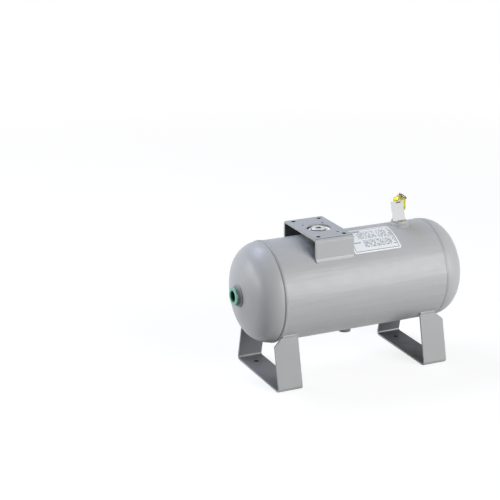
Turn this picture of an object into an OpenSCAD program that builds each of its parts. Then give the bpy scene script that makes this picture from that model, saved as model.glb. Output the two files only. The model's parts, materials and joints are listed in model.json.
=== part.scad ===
// Ten litre compressed air tank: a lying steel pressure vessel on two folded feet,
// with a folded mounting bracket, four ports, a drain and a small safety valve.
// +X runs along the tank, the tank stands on z = 0, and the origin is under its middle.

/* [Tank] */
// Outside diameter of the shell and both heads
tank_od = 186; // [170:1:210]
// Plate thickness of the shell and both heads
tank_wall = 3.2; // [2.6:0.1:4.5]
// Length of the rolled shell, end to end
shell_len = 329; // [320:1:480]
// Height of the tank's axis above the floor
axis_h = 163.5; // [155:0.5:190]
// Outside radius of the shallow crown of a head
crown_r = 186; // [150:1:240]
// Outside radius of the knuckle that turns a head into its flange
knuckle_r = 45; // [30:1:55]
// Length of head flange that is pushed inside the shell
joggle_len = 10; // [6:1:20]
// Radial clearance between that flange and the shell's bore
joggle_gap = 0.15; // [0.05:0.05:0.4]

/* [Welds] */
// Width of the groove between shell and head
root_gap = 2; // [1:0.5:3]
// Width of the cap of a girth weld
girth_w = 5; // [4:0.5:7]
// Height of the left girth weld above the plate
girth_h_left = 1.5; // [0.4:0.1:2]
// Height of the right girth weld, which is dressed down
girth_h_right = 0.3; // [0.2:0.1:2]
// Leg of the fillet welds round the bosses
boss_fillet = 4.5; // [3:0.5:6]
// Reach of the foot welds up the shell, past the plate
foot_bead = 2; // [1.5:0.5:5]
// Reach of the bracket welds down the shell, past the plate
bracket_bead = 3.5; // [2.5:0.5:7]
// Height of a plate weld on the outer face of its plate
bead_face = 1.5; // [1:0.5:4]
// Gap between a welded plate's inner corner and the shell
plate_gap = 0.2; // [0.1:0.1:0.6]

/* [End ports] */
// Outside diameter of the two end bosses
port_od = 34; // [32:0.5:40]
// Bore of an end boss, at the thread's crests
port_bore = 24.1; // [22:0.1:26]
// Length of an end boss
port_len = 15; // [13:0.5:20]
// Distance that an end boss stands out past the head's crown
port_proud = 6.8; // [4:0.1:10]
// Thickness of the protector's flange
cap_flange = 2.5; // [1.5:0.1:4]
// Outside diameter of the protector's flange
cap_od = 34; // [30:0.5:40]
// Depth of the protector's plug inside the boss
cap_depth = 12; // [8:0.5:12.5]
// Wall of the protector's plug
cap_wall = 1.2; // [0.8:0.1:2]

/* [Top port] */
// Outside diameter of the top boss, seen through the bracket
top_od = 36; // [34:0.5:40]
// Bore of the top boss
top_bore = 21; // [18:0.1:24]
// Height of the top boss above the shell's crown
top_h = 10.8; // [9:0.1:12]
// Diameter of the plug's collar and of its sealing ring
plug_od = 27; // [25:0.5:32]
// Thickness of the plug's collar
plug_collar = 2.2; // [1.5:0.1:3]
// Length of the plug's thread
plug_len = 11; // [8:0.5:14]
// Hexagon socket of the plug, across flats
plug_socket = 10; // [8:0.5:12]
// Thickness of the sealing ring under the collar
seal_h = 1.5; // [1:0.1:2]

/* [Drain] */
// Outside diameter of the drain boss
drain_od = 24; // [22:0.5:30]
// Bore of the drain boss
drain_bore = 15; // [13:0.1:17]
// Distance that the drain boss hangs below the shell
drain_h = 9.5; // [6:0.5:14]
// Length of the drain plug
drain_plug_len = 9; // [7:0.5:11]
// Hexagon socket of the drain plug, across flats
drain_socket = 8; // [6:0.5:9]

/* [Feet] */
// Distance from the shell's left end to the middle of the left foot
foot_inset_left = 9.2; // [6:0.1:40]
// Distance from the shell's right end to the middle of the right foot
foot_inset_right = 17.8; // [6:0.1:40]
// Width of a foot along the tank
foot_w = 48; // [40:1:60]
// Length of a foot across the tank, over its bends
foot_len = 179; // [172:1:184]
// Plate thickness of the feet
foot_t = 3.2; // [2.6:0.1:4.5]
// Outside radius of the feet's bends
foot_bend = 7; // [5.5:0.5:9]
// Lean of the legs towards the tank, in degrees
foot_lean = 13.5; // [10:0.5:15]
// Gap along the tank between a leg's top edge and the girth weld
girth_clear = 0.7; // [0.4:0.1:3]
// Height of the cut corner of a leg
corner_h = 15; // [10:0.5:20]
// Distance between the two floor holes of a foot
foot_hole_pitch = 116; // [80:1:130]
// Diameter of the floor holes
foot_hole_d = 9; // [6:0.5:12]

/* [Bracket] */
// Distance of the bracket's middle from the tank's middle
bracket_x = -58; // [-80:1:-50]
// Width of the bracket along the tank
bracket_w = 76; // [68:1:90]
// Length of the bracket across the tank
bracket_len = 132; // [122:1:140]
// Height of the bracket's top above the shell's crown
bracket_h = 14.8; // [14.5:0.1:20]
// Plate thickness of the bracket
bracket_t = 4.5; // [3.2:0.1:5]
// Outside radius of the bracket's bends
bracket_bend = 7; // [6:0.5:10]
// Spacing of the corner holes along the tank
hole_pitch_x = 52; // [48:0.5:56]
// Spacing of the corner holes across the tank
hole_pitch_y = 100; // [80:0.5:104]
// Diameter of the corner holes
hole_d = 7; // [5:0.1:9]
// Diameter of the round window over the top boss
window_d = 46; // [43:0.5:48]
// Diameter of the small tapped holes
tap_d = 4.2; // [3:0.1:5]
// Spacing of the small tapped holes along the tank
tap_pitch_x = 40; // [36:0.5:44]
// Distance of the two rear tapped holes from the bracket's middle
tap_rear_y = 23; // [22:0.5:36]
// Distance of the front tapped hole from the bracket's middle
tap_front_y = 36.5; // [30:0.5:42]

/* [Nameplate] */
// Distance of the nameplate's left edge from the tank's middle
plate_x = -14.5; // [-17:0.5:0]
// Length of the nameplate along the tank
plate_len = 96; // [60:1:105]
// Width of the nameplate round the tank
plate_w = 65; // [40:1:70]
// Angle of the nameplate's upper edge from the top of the tank
plate_angle = 2.3; // [1:0.1:12]
// Thickness of the nameplate
plate_t = 0.4; // [0.2:0.1:0.8]
// Radius of the nameplate's corners
plate_r = 3; // [1:0.5:5]

/* [Safety valve] */
// Distance of the safety valve from the tank's middle
valve_x = 110.5; // [108:0.5:125]
// Turn of the safety valve about its axis, in degrees
valve_turn = -25; // [-30:1:-20]
// Outside diameter of the valve's boss
valve_boss_od = 28; // [24:0.5:30]
// Height of the valve's boss above the shell's crown
valve_boss_h = 7.5; // [6.5:0.1:9]
// Diameter of the valve's thread
valve_thread_d = 13; // [12:0.1:14]
// Length of the valve's thread
valve_thread_len = 11; // [8:0.5:12]
// Width of the valve's hexagon across flats
hex_af = 17; // [16:0.5:18.5]
// Height of the valve's hexagon
hex_h = 10; // [8:0.5:12]
// Outside diameter of the body's barrel above the hexagon
barrel_d = 15.6; // [15:0.1:16]
// Height of that barrel
barrel_h = 15; // [14:0.5:18]
// Bore of the barrel
chamber_d = 11.6; // [11.2:0.1:12]
// Bore of the nozzle
nozzle_d = 6; // [4:0.1:6.5]
// Height of the seat above the hexagon
seat_h = 4; // [3:0.1:5]
// Diameter of the four outlet holes
outlet_d = 3.2; // [2:0.1:3.4]
// Outside diameter of the bonnet
bonnet_d = 23; // [21:0.5:23.5]
// Height of the bonnet's straight side
bonnet_h = 21; // [18:0.5:24]
// Height of the bonnet's sloping top
bonnet_cone = 3.5; // [2.5:0.1:4]
// Distance of the bonnet's lower edge above the hexagon
bonnet_lift = 10; // [9:0.5:11]
// Diameter of the adjusting screw
screw_d = 9; // [8:0.1:10]
// Height of the adjusting screw's head
screw_head = 1.2; // [1:0.1:1.6]
// Diameter of the lifting stem
stem_d = 3.6; // [3:0.1:4]
// Lift of the valve's disc
valve_lift = 1.5; // [0.5:0.1:2]
// Mean diameter of the spring
spring_d = 8.2; // [7.8:0.1:9]
// Wire of the spring
spring_wire = 1.3; // [1:0.1:1.5]
// Turns of the spring
spring_turns = 6.5; // [5:0.5:8]
// Mean diameter of the pull ring
ring_d = 15; // [14.5:0.5:16]
// Wire of the pull ring
ring_wire = 1.6; // [1.2:0.1:1.7]
// Droop of the pull ring at rest, below the level, in degrees
ring_droop = 32; // [20:1:32]

/* [Inspection tag] */
// Width of the tag
tag_w = 23; // [20:0.5:26]
// Height of the tag
tag_h = 38; // [30:0.5:39]
// Thickness of the tag
tag_t = 0.8; // [0.5:0.1:1]
// Slot in the tag, along its upper edge
tag_slot = 5; // [4:0.5:8]
// Height of the slot
tag_slot_h = 2; // [1.8:0.1:2.5]
// Distance of the slot from the tag's upper edge
tag_slot_edge = 2.6; // [2.4:0.1:4]
// Distance of the slot from the tag's middle, which makes the tag hang askew
tag_slot_side = 2.7; // [0:0.1:4]
// Distance of the slot to the left of the valve's axis
tag_side = 3.4; // [0:0.1:4]
// Wire that holds the tag
tie_wire = 1; // [0.7:0.1:1.1]

/* [Hidden] */

paint = "#b4b7b8";
brass = "#c9b23c";
yellow_brass = "#d6c034";
steel = "#c2c6c9";
dark_steel = "#3a3d3f";
green = "#6fc3a0";
rubber = "#262728";
white = "#f1f2f0";

$fn = 96;
round_fn = 48;

// Cuts run past the face that they open by this much
eps = 0.5;
// Radial clearance between a boss and its hole in the plate
boss_gap = 0.2;
// Radial clearance of a screwed thread
thread_gap = 0.1;
// Clearance under the nameplate, where its adhesive lies
skin_gap = 0.05;
// Length of a boss inside the plate
boss_inside = 3;
// Distance by which a straight face lies inside the bend that it runs into
hair = 0.002;

tank_r = tank_od / 2;
crown_z = axis_h + tank_r;
bottom_z = axis_h - tank_r;
half_shell = shell_len / 2;
seam_x = half_shell + root_gap / 2;
head_x = half_shell + root_gap;

// The crown's centre lies on the axis, behind the knuckle's centre
knuckle_y = tank_r - knuckle_r;
crown_back = sqrt(pow(crown_r - knuckle_r, 2) - pow(knuckle_y, 2));
crown_tangent = asin(knuckle_y / (crown_r - knuckle_r));
head_depth = crown_r - crown_back;
apex_x = head_x + head_depth;
port_face_x = apex_x + port_proud;

foot_left_x = foot_inset_left - half_shell;
foot_right_x = half_shell - foot_inset_right;
// Both feet are cut alike, for the one that stands nearer to its head
foot_reach = max(-foot_left_x, foot_right_x) + foot_w / 2;
corner_w = foot_reach - (seam_x - girth_w / 2) + girth_clear;
foot_centre_y = foot_len / 2 - foot_bend;

bracket_z = crown_z + bracket_h;
bracket_in = bracket_len / 2 - bracket_t;
flange_z = axis_h + sqrt(pow(tank_r + plate_gap, 2) - pow(bracket_in, 2));

// Levels of the safety valve, from its boss upwards
boss_top = crown_z + valve_boss_h;
hex_z = boss_top + 1;
hex_top = hex_z + hex_h;
seat_z = hex_top + seat_h;
chamber_z = seat_z - 1.5;
barrel_top = hex_top + barrel_h;
bonnet_z = hex_top + bonnet_lift;
shoulder_z = bonnet_z + bonnet_h;
bonnet_top = shoulder_z + bonnet_cone;
spring_room_top = shoulder_z - 3;
screw_low = shoulder_z - 6;
neck_h = tie_wire + 0.3;
head_low = bonnet_top + neck_h;
head_top = head_low + screw_head;
screw_head_d = screw_d + 1.4;
hinge_z = head_top + 2.3;
stem_top = hinge_z + 1.9;
eye_d = ring_wire + 0.8;
eye_stem_d = eye_d + 1.8;
seal_t = 1.5;
disc_low = seat_z + 0.6;
disc_d = chamber_d - 0.8;
disc_h = 4.4;
disc_top = disc_low + disc_h;
stem_low = disc_low + 1.6;
spring_seat = 0.05;

// The tag hangs in front of the bonnet, clear of it by the wire behind it
tag_v = bonnet_d / 2 + tie_wire + 0.9;
tag_top_z = shoulder_z - 1.2;
slot_z = tag_top_z - tag_slot_edge;
// The tag turns until its middle is plumb below the slot
tag_tilt = atan(tag_slot_side / (tag_h / 2 - tag_slot_edge));

// Distance up a leg, past its bend, at which its inner corner meets the shell
leg_dir = [-sin(foot_lean), cos(foot_lean)];
leg_out = [cos(foot_lean), sin(foot_lean)];
leg_foot = [foot_centre_y, foot_bend] + (foot_bend - foot_t) * leg_out;
leg_from_axis = leg_foot - [0, axis_h];
leg_along = leg_from_axis * leg_dir;
leg_len = -leg_along - sqrt(pow(leg_along, 2) - leg_from_axis * leg_from_axis
    + pow(tank_r + plate_gap, 2));
leg_in = leg_foot + leg_len * leg_dir;
leg_edge = leg_in + foot_t * leg_out;

// Point at angle a on a circle of radius r
function polar(r, a) = [r * cos(a), r * sin(a)];

// Rounded cap of a weld bead, from -w / 2 to w / 2 and h high
function cap_arc(w, h, n = 10) =
    let(r = (w * w / 4 + h * h) / (2 * h), a = asin(w / 2 / r))
    [for (i = [0:n]) let(t = -a + 2 * a * i / n) [r * sin(t), r * cos(t) - r + h]];

// Closed tube round a list of points, with the section turned to follow the path
function unit(v) = v / norm(v);
function across(t) = unit(cross(t, abs(t.z) < 0.9 ? [0, 0, 1] : [1, 0, 0]));
function tangent(p, i, closed) =
    let(n = len(p))
    unit(closed ? p[(i + 1) % n] - p[(i + n - 1) % n] : p[min(i + 1, n - 1)] - p[max(i - 1, 0)]);
function tube_ring(c, t, r, sides) =
    let(a = across(t), b = cross(t, a))
    [for (k = [0:sides - 1]) c + r * (cos(360 * k / sides) * a + sin(360 * k / sides) * b)];

module tube(path, r, sides = 8, closed = false) {
    n = len(path);
    points = [for (i = [0:n - 1]) each tube_ring(path[i], tangent(path, i, closed), r, sides)];
    last = closed ? n - 1 : n - 2;
    walls = [for (i = [0:last]) for (k = [0:sides - 1])
        let(j = (i + 1) % n, m = (k + 1) % sides)
        [i * sides + k, j * sides + k, j * sides + m, i * sides + m]];
    low = [for (k = [0:sides - 1]) k];
    high = [for (k = [sides - 1:-1:0]) (n - 1) * sides + k];
    polyhedron(points, closed ? walls : concat(walls, [low, high]), convexity = 8);
}

// Lays a shape turned about Z along the tank's axis, with its +Z towards +X
module along_tank() {
    translate([0, 0, axis_h])
        rotate([0, 90, 0])
            children();
}

// Puts the children at the left or the right end, mirrored for the left one
module at_end(side) {
    if (side == "left")
        mirror([1, 0, 0])
            children();
    else
        children();
}

// Solid of the shell's outside, for parts that are cut to sit on it
module shell_outside(extra = 0) {
    along_tank()
        cylinder(r = tank_r + extra, h = shell_len + 60, center = true, $fn = 180);
}

// Half section of a dished head, less a wall of thickness off
module dish_section(off) {
    crown = crown_r - off;
    knuckle = knuckle_r - off;
    far = crown_r * 2;
    intersection() {
        translate([0, -crown_back])
            circle(r = crown, $fn = 360);
        polygon([[0, 0], [knuckle_y, 0], [knuckle_y + far * sin(crown_tangent),
            far * cos(crown_tangent)], [0, far]]);
    }
    intersection() {
        translate([knuckle_y, 0])
            circle(r = knuckle, $fn = 180);
        polygon([[knuckle_y, 0], [knuckle_y + far, 0], [knuckle_y + far, far],
            [knuckle_y + far * sin(crown_tangent), far * cos(crown_tangent)]]);
    }
}

module shell() {
    color(paint)
        difference() {
            along_tank()
                difference() {
                    cylinder(r = tank_r, h = shell_len, center = true, $fn = 180);
                    cylinder(r = tank_r - tank_wall, h = shell_len + 2 * eps, center = true,
                        $fn = 180);
                }
            translate([bracket_x, 0, axis_h])
                cylinder(d = top_od + 2 * boss_gap, h = tank_r + eps);
            translate([valve_x, 0, axis_h])
                cylinder(d = valve_boss_od + 2 * boss_gap, h = tank_r + eps);
            translate([0, 0, bottom_z - eps])
                cylinder(d = drain_od + 2 * boss_gap, h = tank_r + eps);
        }
}

// Dished head with a joggled flange that slides inside the shell
module head(side) {
    flange_r = tank_r - tank_wall - joggle_gap;
    flange_in = flange_r - tank_wall;
    low = -root_gap - joggle_len;
    color(paint)
        at_end(side)
            translate([head_x, 0, 0])
                along_tank()
                    difference() {
                        rotate_extrude($fn = 180)
                            union() {
                                difference() {
                                    dish_section(0);
                                    translate([0, -eps])
                                        dish_section(tank_wall);
                                    dish_section(tank_wall);
                                }
                                polygon([[flange_in, low], [flange_r, low], [flange_r, 0],
                                    [tank_r - tank_wall / 2, 0],
                                    [tank_r - tank_wall / 2, tank_wall],
                                    [tank_r - tank_wall, 1.2 * tank_wall], [flange_in, 0]]);
                            }
                        cylinder(d = port_od + 2 * boss_gap, h = head_depth + eps);
                    }
}

// Girth weld, which fills the groove and stands above the plate
module girth_weld(side, h) {
    root_r = tank_r - tank_wall;
    cap = cap_arc(girth_w, h);
    color(paint)
        at_end(side)
            translate([seam_x, 0, 0])
                along_tank()
                    rotate_extrude($fn = 180)
                        polygon(concat(
                            [[root_r, root_gap / 2], [root_r, -root_gap / 2],
                                [tank_r, -root_gap / 2]],
                            [for (p = cap) [tank_r + p.y, p.x]],
                            [[tank_r, root_gap / 2]]));
}

// Threaded boss let into a head, with its fillet weld
module port_boss(side) {
    weld_r = port_od / 2 + boss_fillet;
    color(paint)
        at_end(side)
            difference() {
                union() {
                    translate([port_face_x - port_len, 0, 0])
                        along_tank()
                            cylinder(d = port_od, h = port_len);
                    difference() {
                        translate([apex_x - 2 * boss_fillet, 0, 0])
                            along_tank()
                                cylinder(r1 = weld_r + boss_fillet, r2 = port_od / 2,
                                    h = 3 * boss_fillet);
                        translate([head_x - crown_back, 0, axis_h])
                            sphere(r = crown_r, $fn = 360);
                    }
                }
                translate([port_face_x - port_len - eps, 0, 0])
                    along_tank()
                        cylinder(d = port_bore, h = port_len + 2 * eps);
                // Lead-in of the thread
                translate([port_face_x - 1, 0, 0])
                    along_tank()
                        cylinder(d1 = port_bore, d2 = port_bore + 2 + 2 * eps, h = 1 + eps);
            }
}

// Hollow plastic plug that keeps the thread clean, with a flange over the boss
module port_cap(side) {
    plug_r = port_bore / 2 - thread_gap;
    grip = 0.8;
    color(green)
        at_end(side)
            translate([port_face_x, 0, 0])
                along_tank()
                    difference() {
                        union() {
                            cylinder(d = cap_od, h = cap_flange - grip);
                            translate([0, 0, cap_flange - grip])
                                cylinder(d1 = cap_od, d2 = cap_od - 2 * grip, h = grip);
                            translate([0, 0, -cap_depth])
                                cylinder(r = plug_r, h = cap_depth + eps);
                        }
                        translate([0, 0, cap_wall - cap_depth])
                            cylinder(r = plug_r - cap_wall, h = cap_depth + cap_flange);
                    }
}

// Boss let into the shell at height z on a vertical axis, standing h out of it
module shell_boss(od, bore, h) {
    difference() {
        union() {
            translate([0, 0, tank_r - tank_wall - boss_inside])
                cylinder(d = od, h = tank_wall + boss_inside + h);
            difference() {
                translate([0, 0, tank_r - 2 * boss_fillet])
                    cylinder(d1 = od + 6 * boss_fillet, d2 = od, h = 3 * boss_fillet);
                rotate([0, 90, 0])
                    cylinder(r = tank_r, h = 3 * od, center = true, $fn = 180);
            }
        }
        translate([0, 0, tank_r - tank_wall - boss_inside - eps])
            cylinder(d = bore, h = tank_wall + boss_inside + h + 2 * eps);
        translate([0, 0, tank_r + h - 1])
            cylinder(d1 = bore, d2 = bore + 2 + 2 * eps, h = 1 + eps);
    }
}

module top_boss() {
    color(paint)
        translate([bracket_x, 0, axis_h])
            shell_boss(top_od, top_bore, top_h);
}

module valve_boss() {
    color(paint)
        translate([valve_x, 0, axis_h])
            shell_boss(valve_boss_od, valve_thread_d + 2 * thread_gap, valve_boss_h);
}

module drain_boss() {
    color(paint)
        translate([0, 0, axis_h])
            rotate([180, 0, 0])
                shell_boss(drain_od, drain_bore, drain_h);
}

module top_seal() {
    color(rubber)
        translate([bracket_x, 0, crown_z + top_h])
            difference() {
                cylinder(d = plug_od, h = seal_h);
                translate([0, 0, -eps])
                    cylinder(d = top_bore + 0.6, h = seal_h + 2 * eps);
            }
}

// Socket-headed plug that closes the top port under the bracket's window
module top_plug() {
    thread_d = top_bore - 2 * thread_gap;
    depth = plug_len + seal_h;
    socket_depth = 7;
    color(steel)
        translate([bracket_x, 0, crown_z + top_h + seal_h])
            difference() {
                union() {
                    translate([0, 0, -depth])
                        cylinder(d = thread_d, h = depth + eps);
                    cylinder(d = plug_od, h = plug_collar - 0.6);
                    translate([0, 0, plug_collar - 0.6])
                        cylinder(d1 = plug_od, d2 = plug_od - 1.2, h = 0.6);
                }
                translate([0, 0, plug_collar - socket_depth])
                    cylinder(d = plug_socket / cos(30), h = socket_depth + eps, $fn = 6);
            }
}

module drain_plug() {
    recess = 1;
    socket_depth = 5;
    color(steel)
        translate([0, 0, bottom_z - drain_h + recess])
            difference() {
                cylinder(d = drain_bore - 2 * thread_gap, h = drain_plug_len);
                translate([0, 0, -eps])
                    cylinder(d = drain_socket / cos(30), h = socket_depth + eps, $fn = 6);
            }
}

// Everything inside one half of a foot's outline, for plate face radius r of the bends.
// The leg's face lies a hair inside the bend's, so that the two cross and don't just touch.
module foot_half(r, floor_z, up, over) {
    centre = [foot_centre_y, foot_bend];
    heel = centre + (r - hair) * leg_out;
    top = heel + (leg_len + up) * leg_dir;
    last = top - over * leg_out;
    back = -1 - floor_z;
    polygon([[back, floor_z], [centre.x, floor_z], centre, heel, top, last, [back, last.y]]);
    translate(centre)
        circle(r = r, $fn = round_fn * 2);
}

// Folded foot: a floor plate and two legs, whose outer corners are cut off
module foot(x, side) {
    corner = foot_w / 2 - corner_w;
    color(paint)
        translate([x, 0, 0])
            mirror([side == "left" ? 0 : 1, 0, 0])
                difference() {
                    rotate([90, 0, 90])
                        linear_extrude(height = foot_w, center = true)
                            for (y = [0, 1])
                                mirror([y, 0])
                                    difference() {
                                        foot_half(foot_bend, 0, 0, foot_t + 1);
                                        foot_half(foot_bend - foot_t, foot_t, eps, 1);
                                    }
                    for (y = [-1, 1])
                        translate([0, y * foot_hole_pitch / 2, -eps])
                            cylinder(d = foot_hole_d, h = foot_t + 2 * eps);
                    translate([0, 0, leg_edge.y])
                        rotate([90, 0, 0])
                            linear_extrude(height = foot_len, center = true)
                                polygon([[-foot_w / 2 - 1, 1], [-corner, 1],
                                    [-corner, 0], [-foot_w / 2, -corner_h],
                                    [-foot_w / 2 - 1, -corner_h]]);
                }
}

// Bead between a plate's edge and the shell, drawn in the plane across the tank
module plate_bead(inner, outer, face, turn, w) {
    away = atan2(inner.y - axis_h, inner.x);
    toe = [0, axis_h] + polar(tank_r, away + turn);
    root = [0, axis_h] + polar(tank_r - 2, away + turn / 2);
    swell = (face + toe) / 2 + 0.5 * unit((face + toe) / 2 - [0, axis_h]);
    rotate([90, 0, 90])
        linear_extrude(height = w)
            polygon([root, inner, outer, face, swell, toe]);
}

module foot_welds() {
    turn = (foot_t + foot_bead) / tank_r * 180 / PI;
    len_x = foot_w - corner_w - 0.5;
    color(paint)
        difference() {
            for (side = [-1, 1])
                for (y = [0, 1])
                    mirror([0, y, 0])
                        translate([side < 0 ? foot_left_x - foot_w / 2 + corner_w
                            : foot_right_x - foot_w / 2 + 0.5, 0, 0])
                            plate_bead(leg_in, leg_edge, leg_edge - bead_face * leg_dir, turn,
                                len_x);
            shell_outside();
        }
}

// Outline of a channel with two round corners, hanging from y = 0
module channel_outline(half, r, depth) {
    translate([-half, -depth])
        square([2 * half, depth - r]);
    translate([r - half, -depth])
        square([2 * (half - r), depth]);
    for (x = [r - half, half - r])
        translate([x, -r])
            circle(r = r, $fn = round_fn * 2);
}

// Folded bracket over the top boss, with its flanges standing on the shell
module mounting_bracket() {
    depth = bracket_z - flange_z;
    color(paint)
        translate([bracket_x, 0, bracket_z])
            difference() {
                rotate([90, 0, 90])
                    linear_extrude(height = bracket_w, center = true)
                        difference() {
                            channel_outline(bracket_len / 2, bracket_bend, depth);
                            translate([0, -bracket_t])
                                channel_outline(bracket_in, bracket_bend - bracket_t, depth);
                        }
                translate([0, 0, -bracket_t - eps])
                    cylinder(d = window_d, h = bracket_t + 2 * eps);
                for (x = [-1, 1])
                    for (y = [-1, 1])
                        translate([x * hole_pitch_x / 2, y * hole_pitch_y / 2, -bracket_t - eps])
                            cylinder(d = hole_d, h = bracket_t + 2 * eps, $fn = round_fn);
                for (p = [[-1, tap_rear_y], [1, tap_rear_y], [1, -tap_front_y]])
                    translate([p.x * tap_pitch_x / 2, p.y, -bracket_t - eps])
                        cylinder(d = tap_d, h = bracket_t + 2 * eps, $fn = round_fn);
            }
}

module bracket_welds() {
    turn = -(bracket_t + bracket_bead) / tank_r * 180 / PI;
    inner = [bracket_in, flange_z];
    outer = [bracket_len / 2, flange_z];
    color(paint)
        difference() {
            for (y = [0, 1])
                mirror([0, y, 0])
                    translate([bracket_x - bracket_w / 2 + 0.5, 0, 0])
                        plate_bead(inner, outer, outer + [0, bead_face], turn, bracket_w - 1);
            shell_outside();
        }
}

// Thin plate that follows the shell, with rounded corners
module nameplate() {
    low = tank_r + skin_gap;
    turn = plate_w / low * 180 / PI;
    mid = plate_angle + turn / 2;
    color(white)
        intersection() {
            translate([plate_x - eps, 0, axis_h])
                rotate([180 + plate_angle - 2, 0, 0])
                    rotate([0, 90, 0])
                        rotate_extrude(angle = turn + 4, $fn = 180)
                            translate([low, 0])
                                square([plate_t, plate_len + 2 * eps]);
            translate([plate_x + plate_len / 2, 0, axis_h])
                rotate([mid, 0, 0])
                    rounded_block(plate_len, 2 * tank_r * sin(turn / 2), tank_r + 10, plate_r);
        }
}

// Upright block with round corners, standing on z = 0
module rounded_block(x, y, h, r) {
    linear_extrude(height = h) {
        square([x - 2 * r, y], center = true);
        square([x, y - 2 * r], center = true);
        for (i = [-1, 1])
            for (j = [-1, 1])
                translate([i * (x / 2 - r), j * (y / 2 - r)])
                    circle(r = r, $fn = round_fn);
    }
}

// Puts the children on the safety valve's axis, turned with the valve
module at_valve() {
    translate([valve_x, 0, 0])
        rotate([0, 0, valve_turn])
            children();
}

// Turned body: thread, hexagon and a barrel that holds the seat
module valve_body() {
    wall_mid = (barrel_d + chamber_d) / 4;
    color(brass)
        at_valve()
            difference() {
                union() {
                    translate([0, 0, hex_z - valve_thread_len])
                        cylinder(d = valve_thread_d, h = valve_thread_len + eps);
                    translate([0, 0, hex_z])
                        intersection() {
                            cylinder(d = hex_af / cos(30), h = hex_h, $fn = 6);
                            cylinder(d1 = hex_af + 0.8, d2 = hex_af + 0.8 + 2 * hex_h,
                                h = hex_h);
                            cylinder(d2 = hex_af + 0.8, d1 = hex_af + 0.8 + 2 * hex_h,
                                h = hex_h);
                        }
                    translate([0, 0, hex_top - eps])
                        cylinder(d = barrel_d, h = barrel_h + eps);
                }
                translate([0, 0, hex_z - valve_thread_len - eps])
                    cylinder(d = nozzle_d, h = seat_z - hex_z + valve_thread_len + 2 * eps);
                difference() {
                    translate([0, 0, chamber_z])
                        cylinder(d = chamber_d, h = barrel_top - chamber_z + eps);
                    translate([0, 0, chamber_z - eps])
                        cylinder(d = nozzle_d + 2, h = seat_z - chamber_z + eps);
                }
                for (a = [0:90:270])
                    rotate([0, 0, a + 45])
                        translate([wall_mid - 2, 0, seat_z + 1.2])
                            rotate([0, 90, 0])
                                cylinder(d = outlet_d, h = 4, $fn = round_fn);
            }
}

// Bonnet that screws over the barrel and holds the spring
module valve_bonnet() {
    skirt = barrel_top + 0.5 - bonnet_z;
    color(yellow_brass)
        at_valve()
            difference() {
                union() {
                    translate([0, 0, bonnet_z])
                        cylinder(d1 = bonnet_d - 1.6, d2 = bonnet_d, h = 0.8);
                    translate([0, 0, bonnet_z + 0.8])
                        cylinder(d = bonnet_d, h = bonnet_h - 0.8);
                    translate([0, 0, shoulder_z])
                        cylinder(d1 = bonnet_d, d2 = screw_d + 1, h = bonnet_cone);
                }
                translate([0, 0, bonnet_z - eps])
                    cylinder(d = barrel_d + 2 * thread_gap, h = skirt + eps);
                translate([0, 0, bonnet_z + skirt - eps])
                    cylinder(d = chamber_d + 0.4, h = spring_room_top - bonnet_z - skirt + eps);
                translate([0, 0, spring_room_top - eps])
                    cylinder(d = screw_d + 2 * thread_gap,
                        h = bonnet_top - spring_room_top + 2 * eps);
            }
}

// Hollow screw that sets the spring and guides the stem
module adjusting_screw() {
    color(brass)
        at_valve()
            difference() {
                union() {
                    translate([0, 0, screw_low])
                        cylinder(d = screw_d, h = head_low - screw_low + eps);
                    translate([0, 0, head_low])
                        cylinder(d = screw_head_d, h = screw_head, $fn = 6);
                }
                translate([0, 0, screw_low - eps])
                    cylinder(d = stem_d + 0.4, h = head_top - screw_low + 2 * eps,
                        $fn = round_fn);
            }
}

// Disc that closes the nozzle, with a recess for its seal and a hole for the stem
module valve_disc() {
    pilot_d = spring_d - spring_wire - 0.6;
    color(brass)
        at_valve()
            difference() {
                union() {
                    translate([0, 0, disc_low])
                        cylinder(d = disc_d, h = disc_h, $fn = round_fn);
                    translate([0, 0, disc_top - eps])
                        cylinder(d = pilot_d, h = 1.6 + eps, $fn = round_fn);
                }
                translate([0, 0, disc_low - eps])
                    cylinder(d = nozzle_d + 3.2, h = seal_t - 0.5 + eps, $fn = round_fn);
                translate([0, 0, stem_low])
                    cylinder(d = stem_d + 2 * thread_gap, h = disc_h + 2, $fn = round_fn);
            }
}

module disc_seal() {
    seat_touch = 0.02;
    color(rubber)
        at_valve()
            translate([0, 0, seat_z + seat_touch])
                cylinder(d = nozzle_d + 3, h = disc_low + seal_t - 0.5 - seat_z - 2 * seat_touch,
                    $fn = round_fn);
}

// Height of the spring's wire at turn u, with a closed turn at each end
function spring_rise(u, low, high) =
    let(coil = spring_wire * 1.02, free = high - low - 2 * coil)
    u < 1 ? low + coil * u
    : u > spring_turns - 1 ? high - coil * (spring_turns - u)
    : low + coil + free * (u - 1) / (spring_turns - 2);

module valve_spring() {
    steps = 18;
    low = disc_top + spring_seat + spring_wire / 2;
    high = screw_low - spring_seat - spring_wire / 2;
    path = [for (i = [0:steps * spring_turns])
        let(a = 360 * i / steps)
        [spring_d / 2 * cos(a), spring_d / 2 * sin(a), spring_rise(i / steps, low, high)]];
    color(steel)
        at_valve()
            tube(path, spring_wire / 2, 6);
}

// Stem from the disc to the eye that carries the pull ring
module valve_stem() {
    neck_z = head_top + 0.3;
    color(steel)
        at_valve()
            difference() {
                union() {
                    translate([0, 0, stem_low + 0.1])
                        cylinder(d = stem_d, h = neck_z - stem_low, $fn = round_fn);
                    translate([0, 0, neck_z])
                        cylinder(d = eye_stem_d, h = stem_top - neck_z - 0.5, $fn = round_fn);
                    translate([0, 0, stem_top - 0.5])
                        cylinder(d1 = eye_stem_d, d2 = eye_stem_d - 1, h = 0.5, $fn = round_fn);
                }
                translate([0, 0, hinge_z])
                    rotate([90, 0, 0])
                        cylinder(d = eye_d, h = eye_stem_d + 2, center = true, $fn = round_fn);
            }
}

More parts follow.
